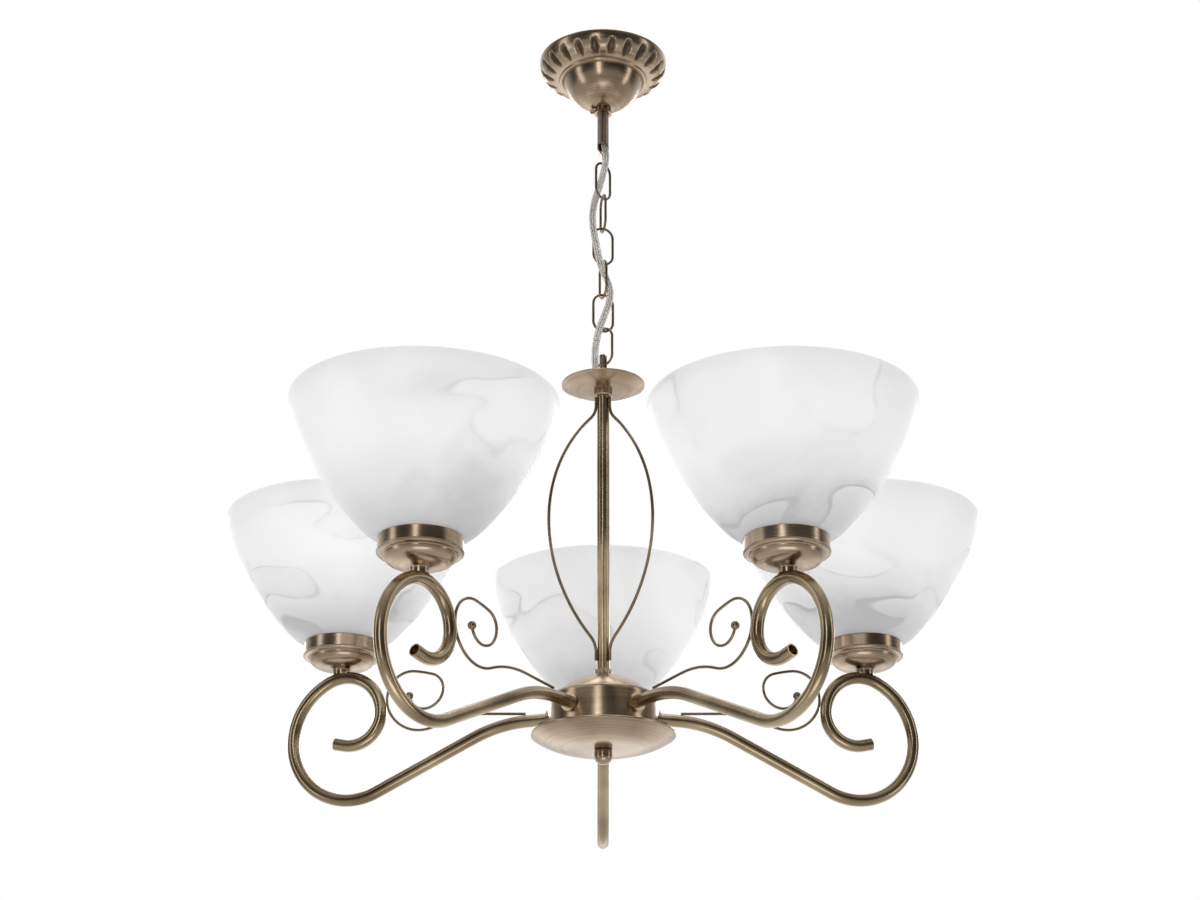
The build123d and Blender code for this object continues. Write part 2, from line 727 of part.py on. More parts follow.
# Terminal block in the hub, strapped against the rod
hub_terminal_y = tie_rod_radius + running_fit + hub_terminal_width / 2
with BuildPart() as hub_terminal_block:
    with BuildSketch(Plane.XY.offset(arm_entry_z - hub_terminal_height / 2)):
        with Locations((0, hub_terminal_y)):
            RectangleRounded(hub_terminal_length, hub_terminal_width, hub_terminal_corner)
    extrude(amount=hub_terminal_height)
save(hub_terminal_block.part, "hub_terminal_block")

# Arm: level out of the hub, bent down to a big loop that curls in on itself, open at its end
with BuildPart() as arm:
    with BuildLine(Plane.XZ):
        entry = Line((arm_inner_rho, arm_entry_z), (arm_bend_rho, arm_entry_z))
        bend_centre = (arm_bend_rho, arm_entry_z - arm_bend_radius)
        first_bend = CenterArc(bend_centre, arm_bend_radius, 90, -arm_slope)
        slope = Line(first_bend @ 1, (loop_start_rho, loop_start_z))
        loop = JernArc(slope @ 1, slope % 1, loop_radius, loop_turn)
        upper_curl = JernArc(loop @ 1, loop % 1, upper_curl_radius, upper_curl_turn)
        lower_curl = JernArc(upper_curl @ 1, upper_curl % 1, lower_curl_radius, lower_curl_turn)
        tail = Line(lower_curl @ 1, (lower_curl @ 1) + (lower_curl % 1) * arm_tail_length)
    with BuildSketch(Plane(entry @ 0, z_dir=entry % 0)):
        RegularPolygon(arm_radius, arm_sides)
    sweep()
    with BuildSketch(Plane(entry @ 0, z_dir=entry % 0)):
        Circle(arm_bore_radius)
    extrude(amount=arm_bore_depth, mode=Mode.SUBTRACT)
    with BuildSketch(Plane(tail @ 1, z_dir=-(tail % 1))):
        Circle(arm_bore_radius)
    extrude(amount=arm_bore_depth, mode=Mode.SUBTRACT)
save_ring(arm.part, "arm")

# Grommet rings where the arms enter the drum, seated on its round wall
grommet_reach = drum_radius + contact_gap
with BuildPart() as arm_collars:
    with BuildSketch(*arm_planes):
        Circle(grommet_radius)
        Circle(arm_radius + thread_fit, mode=Mode.SUBTRACT)
    extrude(amount=grommet_reach + grommet_height)
    with BuildSketch(Plane.XY.offset(arm_entry_z)):
        Circle(grommet_reach)
    extrude(amount=grommet_radius + through, both=True, mode=Mode.SUBTRACT)
save(arm_collars.part, "arm_collars")

# Nuts that hold the arms inside the drum
nut_corner_radius = arm_nut_across_flats / math.sqrt(3)
nut_outer_rho = math.sqrt((drum_radius - drum_wall) ** 2 - nut_corner_radius**2) - contact_gap
with BuildPart() as arm_nuts:
    with BuildSketch(*[plane.offset(nut_outer_rho - arm_nut_length) for plane in arm_planes]):
        RegularPolygon(arm_nut_across_flats / 2, 6, major_radius=False)
        Circle(arm_radius + thread_fit, mode=Mode.SUBTRACT)
    extrude(amount=arm_nut_length)
save(arm_nuts.part, "arm_nuts")

# Leads from the open arm ends to the terminal block: the back three run to its back and its ends,
# the front two pass either side of the rod to its front face
block_back = hub_terminal_y + hub_terminal_width / 2 + lead_gap
block_front = hub_terminal_y - hub_terminal_width / 2 - lead_gap
block_end = hub_terminal_length / 2 + lead_gap
lead_ends = [
    (block_end, hub_terminal_y), (0, block_back), (-block_end, hub_terminal_y),
    (-arm_wire_spread, block_front), (arm_wire_spread, block_front),
]
with BuildPart() as arm_wires:
    for azimuth, lead_end in zip(arm_azimuths, lead_ends):
        lead_start = upright_plane(azimuth).x_dir * (arm_inner_rho + arm_wire_tuck)
        lead_start += Vector(0, 0, arm_entry_z)
        lead_run = Vector(lead_end[0], lead_end[1], arm_entry_z) - lead_start
        with BuildSketch(Plane(origin=lead_start, z_dir=lead_run)):
            Circle(arm_wire_radius)
        extrude(amount=lead_run.length)
save(arm_wires.part, "arm_wires")

# Scroll: a wire that springs off the arm, humps, dips to the loop and curls back to a ball
with BuildPart() as scroll:
    with BuildLine(Plane.XZ) as scroll_path:
        scroll_start_z = arm_entry_z + arm_radius + contact_gap + scroll_wire_radius
        hump_point = (scroll_hump[0], arm_entry_z + scroll_hump[1])
        stretch = Line((scroll_start_rho, scroll_start_z), hump_point)
        for rho, rise in scroll_points:
            stretch = TangentArc(stretch @ 1, Vector(rho, 0, arm_entry_z + rise), tangent=stretch % 1)
    with BuildSketch(Plane(scroll_path.wire() @ 0, z_dir=scroll_path.wire() % 0)):
        RegularPolygon(scroll_wire_radius, scroll_sides)
    sweep()
    with Locations((stretch @ 1) + (stretch % 1) * (ball_radius - scroll_wire_radius)):
        Sphere(ball_radius)
save_ring(scroll.part, "scroll")

# Cup: ring with a rolled lip, a smaller bowl below it, and a nipple with a saddle on the arm
cup_floor = cup_bowl_bottom + cup_wall
nipple_end = arm_crown_z + arm_radius / 2
with BuildPart() as cup:
    with BuildSketch(cup_plane):
        with BuildLine():
            lip = ThreePointArc(
                (cup_ring_radius, cup_step_z + 2 * cup_lip_radius),
                (cup_ring_radius + cup_lip_radius / 2, cup_step_z + cup_lip_radius),
                (cup_ring_radius - cup_lip_radius / 2, cup_step_z),
            )
            bowl_centre = (cup_bowl_radius - cup_bowl_height, cup_step_z)
            bowl_side = CenterArc(bowl_centre, cup_bowl_height, -90, 90)
            bowl_inside = CenterArc(bowl_centre, cup_bowl_height - cup_wall, -90, 90)
            Line(lip @ 1, bowl_side @ 1)
            Polyline(
                bowl_side @ 0, (cup_nipple_radius, cup_bowl_bottom), (cup_nipple_radius, nipple_end),
                (0, nipple_end), (0, cup_floor), bowl_inside @ 0,
            )
            Polyline(
                bowl_inside @ 1,
                (cup_bowl_radius - cup_wall, cup_step_z + cup_wall),
                (cup_ring_radius - cup_wall, cup_step_z + cup_wall),
                (cup_ring_radius - cup_wall, cup_ring_top),
                (cup_ring_radius, cup_ring_top),
                lip @ 0,
            )
        make_face()
    revolve(axis=cup_axis)
    with BuildSketch(Plane(origin=(cup_rho, 0, arm_crown_z), z_dir=(1, 0, 0))):
        Circle(arm_radius + contact_gap)
    extrude(amount=2 * cup_nipple_radius, both=True, mode=Mode.SUBTRACT)
save_ring(cup.part, "cup")

# Lampholder on a stud in the cup, threaded for a large lamp cap and open at the top
with BuildPart() as lampholder:
    with BuildSketch(cup_plane):
        with BuildLine():
            Polyline(
                (0, holder_bottom),
                (holder_stud_radius, holder_bottom),
                (holder_stud_radius, holder_step_z),
                (holder_radius, holder_step_z),
                (holder_radius, holder_top),
                (holder_thread_radius, holder_top),
                (holder_thread_radius, holder_top - holder_thread_depth),
                (0, holder_top - holder_thread_depth),
                close=True,
            )
        make_face()
    revolve(axis=cup_axis)
save_ring(lampholder.part, "lampholder")

# Shade: bell of even glass, rounded at its open rim, with a necked seat in the cup
shade_widest_z = shade_rim_z - shade_rim_rise
shoulder_centre_r = shade_widest_radius - shade_shoulder_radius
shoulder_rim_angle = math.degrees(math.asin(shade_rim_rise / shade_shoulder_radius))
side_sin = math.sin(math.radians(shade_side_angle))
side_cos = math.cos(math.radians(shade_side_angle))
side_top_r = shoulder_centre_r + shade_shoulder_radius * side_cos
side_top_z = shade_widest_z - shade_shoulder_radius * side_sin
side_bottom_z = glass_seat_z + shade_side_height
side_bottom_r = side_top_r - (side_top_z - side_bottom_z) * side_sin / side_cos
base_centre = (side_bottom_r - shade_base_radius * side_cos, side_bottom_z + shade_base_radius * side_sin)
shoulder_centre = (shoulder_centre_r, shade_widest_z)
neck_inner_radius = glass_neck_radius - shade_wall
rim_middle_r = (shade_shoulder_radius - shade_wall / 2) * math.cos(math.radians(shoulder_rim_angle))
rim_point = (shoulder_centre_r + rim_middle_r, shade_rim_z + shade_wall / 2)
with BuildPart() as shade:
    with BuildSketch(cup_plane):
        with BuildLine():
            shoulder_arc = shoulder_rim_angle + shade_side_angle
            inner_shoulder_radius = shade_shoulder_radius - shade_wall
            outer_shoulder = CenterArc(
                shoulder_centre, shade_shoulder_radius, -shade_side_angle, shoulder_arc
            )
            inner_shoulder = CenterArc(
                shoulder_centre, inner_shoulder_radius, -shade_side_angle, shoulder_arc
            )
            outer_base = CenterArc(base_centre, shade_base_radius, -90, 90 - shade_side_angle)
            inner_base = CenterArc(base_centre, shade_base_radius - shade_wall, -90, 90 - shade_side_angle)
            ThreePointArc(outer_shoulder @ 1, rim_point, inner_shoulder @ 1)
            Line(outer_shoulder @ 0, outer_base @ 1)
            Line(inner_shoulder @ 0, inner_base @ 1)
            Polyline(
                outer_base @ 0,
                (glass_neck_radius, base_centre[1] - shade_base_radius),
                (glass_neck_radius, glass_seat_z),
                (shade_hole_radius, glass_seat_z),
                (shade_hole_radius, glass_floor_z),
                (neck_inner_radius, glass_floor_z),
                (neck_inner_radius, base_centre[1] - shade_base_radius + shade_wall),
                inner_base @ 0,
            )
        make_face()
    revolve(axis=cup_axis)
save_ring(shade.part, "shade")

# Rings on the lampholders that clamp the glass
cup_centres = [upright_plane(a).x_dir * cup_rho for a in arm_azimuths]
with BuildPart() as shade_rings:
    with BuildSketch(Plane.XY.offset(glass_floor_z + contact_gap)):
        with Locations(*cup_centres):
            Circle(shade_ring_radius)
            Circle(holder_radius + thread_fit, mode=Mode.SUBTRACT)
    extrude(amount=shade_ring_height)
save(shade_rings.part, "shade_rings")

# Supply cord: a tube on straight runs joined by arcs as large as the shorter run allows
cord_points = [Vector(*point) for point in cord_route]
cord_radii = []
for before, corner, after in zip(cord_points, cord_points[1:], cord_points[2:]):
    half_turn = math.radians((corner - before).get_angle(after - corner)) / 2
    shorter_run = min((corner - before).length, (after - corner).length)
    cord_radii.append(cord_arc_share * shorter_run / math.tan(half_turn))
with BuildPart() as supply_cord:
    with BuildLine() as cord_path:
        FilletPolyline(*cord_points, radius=cord_radii)
    with BuildSketch(Plane(cord_path.wire() @ 0, z_dir=cord_path.wire() % 0)):
        Circle(cord_radius)
    sweep()
cord_length = cord_path.wire().length
print("cord radii", [round(radius, 1) for radius in cord_radii])
cord_volume = math.pi * cord_radius**2 * cord_length
print("cord volume", round(supply_cord.part.volume, 1), "of", round(cord_volume, 1))
save(supply_cord.part, "supply_cord")
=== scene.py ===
import math
import bpy
import bmesh
from mathutils import Matrix, Vector
from mathutils.geometry import interpolate_bezier


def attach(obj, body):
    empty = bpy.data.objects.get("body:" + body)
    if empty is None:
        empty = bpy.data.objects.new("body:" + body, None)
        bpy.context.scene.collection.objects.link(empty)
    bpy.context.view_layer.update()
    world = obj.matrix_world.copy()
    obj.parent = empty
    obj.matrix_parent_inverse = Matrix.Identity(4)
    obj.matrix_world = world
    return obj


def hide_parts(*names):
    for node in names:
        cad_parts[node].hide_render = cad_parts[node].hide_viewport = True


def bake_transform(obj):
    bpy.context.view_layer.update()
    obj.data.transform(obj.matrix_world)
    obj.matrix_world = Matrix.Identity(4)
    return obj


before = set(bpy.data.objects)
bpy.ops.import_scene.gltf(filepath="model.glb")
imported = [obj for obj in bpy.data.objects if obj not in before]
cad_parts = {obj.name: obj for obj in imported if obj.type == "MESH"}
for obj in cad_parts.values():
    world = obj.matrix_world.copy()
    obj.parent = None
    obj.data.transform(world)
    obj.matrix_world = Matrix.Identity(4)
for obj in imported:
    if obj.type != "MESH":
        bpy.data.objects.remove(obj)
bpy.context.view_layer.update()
scene = bpy.context.scene

# Camera: below the shades and looking up at the light, as in the photograph.
lens_data = bpy.data.cameras.new("camera")
lens_data.sensor_width = 36
lens_data.lens = 70.935
lens_data.shift_y = 0.06
camera = bpy.data.objects.new("camera", lens_data)
camera.location = (-0.0029, -1.9838, -1.2169)
camera.rotation_euler = (math.pi / 2 + 0.3586, 0, 0)
scene.collection.objects.link(camera)
scene.camera = camera

# Supply cord: three clear-insulated wires side by side, with tinned strands inside. It leaves the
# hanger tube, threads the chain and goes into the coupler foot. It is cut into spans of equal
# length.
route_points = [
    (0.0003, 0.0003, -0.046), (0.0007, 0.0, -0.062), (0.0005, -0.0002, -0.078),
    (0.0010, -0.0010, -0.092),
    (0.0029, -0.0059, -0.102), (0.0026, -0.0082, -0.111), (0.0008, -0.0054, -0.121),
    (-0.0024, -0.0008, -0.132), (-0.0066, 0.0026, -0.143), (-0.0092, 0.0022, -0.155),
    (-0.0102, -0.0024, -0.169), (-0.0092, -0.0076, -0.184), (-0.0064, -0.0092, -0.200),
    (-0.0036, -0.0068, -0.216), (0.0014, -0.0030, -0.229), (0.0066, -0.0040, -0.242),
    (0.0066, -0.0070, -0.256), (0.0022, -0.0074, -0.270), (-0.0030, -0.0066, -0.284),
    (-0.0066, -0.0052, -0.298), (-0.0077, -0.0030, -0.312), (-0.0070, -0.0016, -0.326),
    (-0.0069, -0.0018, -0.3406),
]
wire_radius = 0.00115
wire_pitch = 0.0022
core_radius = 0.00066
wire_sides = 14
route_data = bpy.data.curves.new("cord_route", "CURVE")
route_data.dimensions = "3D"
route_data.resolution_u = 10
spline = route_data.splines.new("NURBS")
spline.points.add(len(route_points) - 1)
for point, place in zip(spline.points, route_points):
    point.co = (*place, 1)
spline.order_u = 3
spline.use_endpoint_u = True
route = bpy.data.objects.new("cord_route", route_data)
scene.collection.objects.link(route)
bpy.context.view_layer.update()
route_mesh = bpy.data.meshes.new_from_object(route)
route_line = [v.co.copy() for v in route_mesh.vertices]
bpy.data.objects.remove(route)


class Tone:
    """A value in a material; sums, products and powers of values add their Math nodes."""

    def __init__(self, tree, socket=None):
        self.tree, self.socket = tree, socket

    def make(self, kind, sockets, out=0, stops=None, **settings):
        node = self.tree.nodes.new("ShaderNode" + kind)
        for name, value in settings.items():
            setattr(node, name, value)
        if stops:
            ramp = node.color_ramp
            while len(ramp.elements) < len(stops):
                ramp.elements.new(1)
            for element, (place, colour) in zip(ramp.elements, stops):
                element.position, element.color = place, (*colour, 1)
        for name, value in sockets.items():
            if isinstance(value, Tone):
                self.tree.links.new(value.socket, node.inputs[name])
            else:
                node.inputs[name].default_value = value
        return Tone(self.tree, node.outputs[out] if node.outputs else None)

    def sum_of(self, operation, first, second):
        return self.make("Math", {0: first, 1: second}, operation=operation)

    def __add__(self, other):
        return self.sum_of("ADD", self, other)

    def __sub__(self, other):
        return self.sum_of("SUBTRACT", self, other)

    def __rsub__(self, other):
        return self.sum_of("SUBTRACT", other, self)

    def __mul__(self, other):
        return self.sum_of("MULTIPLY", self, other)

    def __pow__(self, other):
        return self.sum_of("POWER", self, other)

    __radd__ = __add__
    __rmul__ = __mul__


def new_material(name):
    """An empty material and the value that its other values are made from."""
    material = bpy.data.materials.new(name)
    material.use_nodes = True
    material.node_tree.nodes.clear()
    return material, Tone(material.node_tree)


def finish_surface(start, sockets):
    """Join a Principled surface with these sockets to the material's output."""
    surface = start.make("BsdfPrincipled", sockets)
    start.make("OutputMaterial", {"Surface": surface})


def give_finish(names, finish):
    """Give CAD pieces one of the finishes made here."""
    for name in names:
        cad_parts[name].data.materials.clear()
        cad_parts[name].data.materials.append(finish)


def made_mesh(thing):
    """Mesh of an object after its modifiers."""
    bpy.context.view_layer.update()
    evaluated = thing.evaluated_get(bpy.context.evaluated_depsgraph_get())
    return bpy.data.meshes.new_from_object(evaluated)


insulation, start = new_material("clear_insulation")
place = start.make("TexCoord", {}, out=3)
haze = start.make("TexNoise", {"Vector": place, "Scale": 700.0, "Detail": 3.0})
finish_surface(start, {
    "Base Color": (0.93, 0.93, 0.91, 1), "Roughness": haze * 0.12 + 0.08, "IOR": 1.48,
    "Transmission Weight": 0.88, "Coat Weight": 0.2,
})
strands, start = new_material("tinned_strands")
place = start.make("TexCoord", {}, out=3)
lay = start.make("TexWave", {"Vector": place, "Scale": 900.0, "Distortion": 1.0},
    bands_direction="DIAGONAL")
finish_surface(start, {
    "Base Color": start.make("ValToRGB", {"Fac": lay},
        stops=[(0, (0.60, 0.56, 0.53)), (1, (0.80, 0.77, 0.74))]),
    "Metallic": 0.85, "Roughness": 0.38,
    "Normal": start.make("Bump", {"Height": lay, "Strength": 0.12, "Distance": 0.0002}),
})


def tube_along(line, sides_of_line, radius, sides, closed_ends=True):
    """Tube of the given radius along the points of a line; returns its vertices and faces."""
    verts, faces = [], []
    for middle, (across, up) in zip(line, sides_of_line):
        for k in range(sides):
            angle = 2 * math.pi * k / sides
            out, rise = radius * math.cos(angle), radius * math.sin(angle)
            verts.append(middle + across * out + up * rise)
    for ring in range(len(line) - 1):
        for k in range(sides):
            a, b = ring * sides + k, ring * sides + (k + 1) % sides
            faces.append((a, b, b + sides, a + sides))
    if closed_ends:
        faces.append(tuple(reversed(range(sides))))
        faces.append(tuple(range(len(verts) - sides, len(verts))))
    return verts, faces


route_sides = []
for number, middle in enumerate(route_line):
    ahead = route_line[min(number + 1, len(route_line) - 1)] - route_line[max(number - 1, 0)]
    twist = 0.5 * math.sin(middle.z * 42)
    across = Vector((math.cos(twist), math.sin(twist), 0))
    across = (across - ahead * (across.dot(ahead) / ahead.length_squared)).normalized()
    route_sides.append((across, ahead.cross(across).normalized()))
lengths = [0.0]
for first, second in zip(route_line, route_line[1:]):
    lengths.append(lengths[-1] + (second - first).length)
held_by = ["ceiling_mount"] + [f"link_{n}_body" for n in range(1, 7)] + ["fixture"]
span_count = len(held_by) - 1
cuts = [min(range(len(lengths)), key=lambda i: abs(lengths[i] - lengths[-1] * n / span_count))
    for n in range(span_count + 1)]
for number in range(span_count):
    low, high = cuts[number], cuts[number + 1]
    span_line, span_sides = route_line[low:high + 1], route_sides[low:high + 1]
    closed_ends = number in (0, span_count - 1)
    verts, faces, slots = [], [], []
    for offset in (-wire_pitch, 0, wire_pitch):
        for slot, radius in enumerate((wire_radius, core_radius)):
            line = [p + s[0] * offset for p, s in zip(span_line, span_sides)]
            more, rings = tube_along(line, span_sides, radius, wire_sides, closed_ends)
            faces += [tuple(i + len(verts) for i in ring) for ring in rings]
            verts += more
            slots += [slot] * len(rings)
    mesh = bpy.data.meshes.new(f"cord_span_{number + 1}")
    mesh.from_pydata(verts, [], faces)
    mesh.materials.append(insulation)
    mesh.materials.append(strands)
    mesh.polygons.foreach_set("material_index", slots)
    mesh.polygons.foreach_set("use_smooth", [True] * len(faces))
    span = bpy.data.objects.new(f"cord_span_{number + 1}", mesh)
    scene.collection.objects.link(span)
    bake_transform(span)
    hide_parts("supply_cord")

# Antique brass: spun and brushed pieces with fine turning lines and a patchy brown patina, under
# clear lacquer. The wires and links are darker and rubbed bright in places.
def brass(name, dark, bright, line_scale, roughness, bump, hollow_shade=None):
    """Brass brushed round the upright axis; the last argument names an attribute that paints shade
    into hollows.
    """
    material, start = new_material(name)
    place = start.make("TexCoord", {}, out=3)
    rings = start.make("Mapping", {"Vector": place, "Scale": (5.0, 5.0, line_scale)})
    lines = start.make("TexNoise", {"Vector": rings, "Scale": 1.0, "Detail": 3.0, "Roughness": 0.6})
    cloud = start.make("TexNoise", {"Vector": place, "Scale": 22.0, "Detail": 2.0,
        "Roughness": 0.4})
    tone = cloud * 0.7 + lines * 0.4 - 0.05
    # Painted shade: where the attribute is deep, the colour is pulled down towards near-black in
    # the hollows.
    if hollow_shade:
        tone = tone - start.make("Attribute", {}, out=2, attribute_name=hollow_shade) * 0.62
    # The darkest stop takes the low patches of patina and the painted shade of the hollows.
    patina_and_shade_dark = tuple(0.28 * c for c in dark)
    colour = start.make("ValToRGB", {"Fac": tone}, stops=[(0.0, patina_and_shade_dark), (0.3, dark), (0.72, bright)])
    surface = {
        "Base Color": colour, "Metallic": 1.0,
        "Roughness": roughness + cloud * 0.1 + lines * 0.1 - 0.1,
        "Coat Weight": 0.25, "Coat Roughness": 0.22,
    }
    if bump:
        surface["Normal"] = start.make("Bump",
            {"Height": lines, "Strength": bump, "Distance": 0.0002})
    finish_surface(start, surface)
    return material


spun_brass = brass("spun_brass", (0.22, 0.142, 0.086), (0.58, 0.455, 0.33), 1300.0, 0.24, 0.3)
cup_brass = brass("cup_brass", (0.24, 0.16, 0.10), (0.58, 0.46, 0.34), 1300.0, 0.22, 0.25,
    "hollow_shade")
tube_brass = brass("tube_brass", (0.22, 0.152, 0.085), (0.54, 0.43, 0.28), 22.0, 0.23, 0)
wire_brass = brass("wire_brass", (0.12, 0.08, 0.048), (0.34, 0.26, 0.165), 22.0, 0.25, 0)
pink_brass = brass("rolled_brass", (0.34, 0.23, 0.17), (0.55, 0.42, 0.33), 200.0, 0.3, 0.08)
give_finish(("canopy_collar", "set_screw", "bobeche", "stem_nut", "arm_collars", "arm_nuts",
    "coupler", "coupler_pin"), spun_brass)
give_finish(("stem",), tube_brass)
give_finish(("hanger_tube",), pink_brass)

# Ceiling cup: spun brass with a wide flare, a rolled bead and a bowl. A ring of ovals is pressed
# into the flare, and painted shade darkens their bottoms in place of the dark reflections there.
flare_r, flare_size, bead, bowl_size, bowl_z = 0.0423, 0.0184, 0.0019, 0.03916, -0.01244
profile = [(0.0607, 0.0, None), (0.0607, -0.0006, None)]
for k in range(57):
    angle = -math.pi / 2 * k / 56
    profile.append((flare_r + flare_size * math.cos(angle), -0.0012 + flare_size * math.sin(angle),
        angle))
for k in range(1, 10):
    angle = -math.pi * k / 10
    profile.append((flare_r - bead + bead * math.cos(angle), -0.0196 + bead * math.sin(angle),
        None))
bowl_top, bowl_end = math.asin(0.0385 / bowl_size), math.asin(0.0068 / bowl_size)
for k in range(31):
    angle = bowl_top + (bowl_end - bowl_top) * k / 30
    profile.append((bowl_size * math.sin(angle), bowl_z - bowl_size * math.cos(angle), None))
oval_count, oval_length, oval_width, oval_depth, around = 22, 0.0198, 0.0080, 0.0021, 22 * 16
oval_angle = math.radians(46)
verts, faces, depths = [], [], []
for r_at, z_at, bent in profile:
    for k in range(around):
        turn = 2 * math.pi * k / around
        depth = 0.0
        if bent is not None:
            from_oval = (turn * oval_count / (2 * math.pi) + 0.5) % 1 - 0.5
            across = from_oval * 2 * math.pi * r_at / oval_count
            along = (bent + oval_angle) * flare_size
            inside = 1 - (2 * along / oval_length) ** 2 - (2 * across / oval_width) ** 2
            depth = max(0.0, inside) ** 0.55
        out = r_at - depth * oval_depth * math.cos(bent or 0)
        up = z_at - depth * oval_depth * math.sin(bent or 0)
        verts.append((out * math.cos(turn), out * math.sin(turn), up))
        depths.append(depth)
for ring in range(len(profile) - 1):
    for k in range(around):
        a, b = ring * around + k, ring * around + (k + 1) % around
        faces.append((b, a, a + around, b + around))
mesh = bpy.data.meshes.new("ceiling_cup")
mesh.from_pydata(verts, [], faces)
mesh.materials.append(cup_brass)
# The pressing depth is kept as an attribute that paints shade into the oval hollows.
mesh.attributes.new("hollow_shade", "FLOAT", "POINT").data.foreach_set("value", depths)
mesh.polygons.foreach_set("use_smooth", [True] * len(faces))
ceiling_cup = bpy.data.objects.new("ceiling_cup", mesh)
scene.collection.objects.link(ceiling_cup)
wall = ceiling_cup.modifiers.new("wall", "SOLIDIFY")
wall.thickness = 0.0011
wall.offset = -1
solid = made_mesh(ceiling_cup)
ceiling_cup.modifiers.clear()
ceiling_cup.data = solid
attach(ceiling_cup, "ceiling_cup")
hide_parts("canopy")

# Hub: a wide low dome, a drum with a rounded shoulder and a stepped band, a shallow pan with a
# beaded rim, and a round finial, each turned from its outline.
def turned(name, outline, finish, steps=128, at=(0.0, 0.0), closed=True):
    """Mesh object made by turning pairs of radius and height round an upright axis at a place."""
    count = len(outline)
    mesh = bpy.data.meshes.new(name)
    mesh.from_pydata([(r, 0, z) for r, z in outline],
        [(k, (k + 1) % count) for k in range(count if closed else count - 1)], [])
    source = bpy.data.objects.new(name + "_outline", mesh)
    scene.collection.objects.link(source)
    screw = source.modifiers.new("screw", "SCREW")
    screw.steps = screw.render_steps = steps
    screw.use_merge_vertices, screw.merge_threshold = True, 1e-7
    mesh = made_mesh(source)
    bpy.data.objects.remove(source)
    mesh.name = name
    shape = bmesh.new()
    shape.from_mesh(mesh)
    bmesh.ops.remove_doubles(shape, verts=shape.verts, dist=1e-7)
    bmesh.ops.recalc_face_normals(shape, faces=shape.faces)
    shape.to_mesh(mesh)
    shape.free()
    mesh.transform(Matrix.Translation((*at, 0)))
    mesh.polygons.foreach_set("use_smooth", [True] * len(mesh.polygons))
    mesh.set_sharp_from_angle(angle=math.radians(32))
    mesh.materials.clear()
    mesh.materials.append(finish)
    piece = bpy.data.objects.new(name, mesh)
    scene.collection.objects.link(piece)
    return piece


dome_low, dome_run, dome_rise = -0.6361, 0.0418, 0.0192
dome_big = (dome_run ** 2 + dome_rise ** 2) / (2 * dome_rise)
dome_turn = math.asin(dome_run / dome_big)
dome = [(0.0024, -0.6121), (0.0074, -0.6121), (0.0078, -0.6128), (0.0078, -0.6164)] + [
    (dome_big * math.sin(a), dome_low + dome_rise - dome_big * (1 - math.cos(a)))
    for a in (dome_turn * k / 28 for k in range(6, 29))
] + [(0.0402, dome_low), (0.0024, dome_low + dome_rise - 0.0016)]
shoulder = [(0.0441 + 0.004 * math.cos(a), -0.6401 + 0.004 * math.sin(a))
    for a in (math.pi / 2 * k / 8 for k in range(8, -1, -1))]
drum = shoulder + [
    (0.0481, -0.6662), (0.0466, -0.6662), (0.0466, -0.6775), (0.0450, -0.6775), (0.0450, -0.6640),
    (0.0463, -0.6640),
    (0.0463, -0.6380), (0.0308, -0.6380), (0.0308, -0.6361),
]
pan_low, pan_deep, pan_run, pan_flat = -0.6842, 0.0126, 0.0409, 0.0220
pan_big = (pan_run ** 2 + pan_deep ** 2) / (2 * pan_deep)
pan_turn = math.asin(pan_run / pan_big)
pan = [(0.0024, pan_low)] + [
    (pan_flat + pan_big * math.sin(pan_turn * k / 24),
        pan_low + pan_big * (1 - math.cos(pan_turn * k / 24))) for k in range(25)
]
pan += [(0.0620 + 0.0011 * math.cos(a), pan_low + pan_deep + 0.0006 + 0.0011 * math.sin(a))
    for a in (-0.4 + 0.35 * k for k in range(11))]
pan += [
    (pan_flat + (pan_big - 0.0015) * math.sin(pan_turn * k / 24),
        pan_low + pan_big - (pan_big - 0.0015) * math.cos(pan_turn * k / 24))
    for k in range(23, -1, -1)
] + [(0.0024, pan_low + 0.0015)]
finial_top, finial_r = -0.6842, 0.0079
finial = [(0.0, finial_top), (0.0070, finial_top), (finial_r, finial_top - 0.0012)]
finial += [(finial_r * math.cos(a), finial_top - 0.0052 - 0.0078 * math.sin(a))
    for a in (math.pi / 2 * k / 14 for k in range(15))]
finial[-1] = (0.0, finial[-1][1])
for name, node, outline, closed in (
    ("dome_cap", "hub_dome", dome, True), ("drum_wall", "hub_drum", drum, True),
    ("pan_plate", "pan", pan, True),
    ("round_finial", "finial", finial, False),
):
    piece = turned(name, outline, spun_brass, closed=closed)
    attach(piece, "fixture")
    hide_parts(node)

# Swept wire and tube: a path gets a round section, turned and dropped to its place.
tree = bpy.data.node_groups.new("swept_wire", "GeometryNodeTree")
for name, kind, default in (
    ("Geometry", "NodeSocketGeometry", None), ("Radius", "NodeSocketFloat", 0.0055),
    ("Sides", "NodeSocketInt", 24), ("Drop", "NodeSocketFloat", 0.0),
    ("Turn", "NodeSocketFloat", 0.0),
    ("Finish", "NodeSocketMaterial", None),
):
    socket = tree.interface.new_socket(name, in_out="INPUT", socket_type=kind)
    if default is not None:
        socket.default_value = default
tree.interface.new_socket("Geometry", in_out="OUTPUT", socket_type="NodeSocketGeometry")
wiring = {
    "in": "NodeGroupInput", "ring": "GeometryNodeCurvePrimitiveCircle",
    "sweep": "GeometryNodeCurveToMesh",
    "smooth": "GeometryNodeSetShadeSmooth", "place": "ShaderNodeCombineXYZ",
    "turn": "ShaderNodeCombineXYZ",
    "move": "GeometryNodeTransform", "real": "GeometryNodeRealizeInstances",
    "paint": "GeometryNodeSetMaterial", "out": "NodeGroupOutput",
}
wiring = {name: tree.nodes.new(kind) for name, kind in wiring.items()}
wiring["sweep"].inputs["Fill Caps"].default_value = True
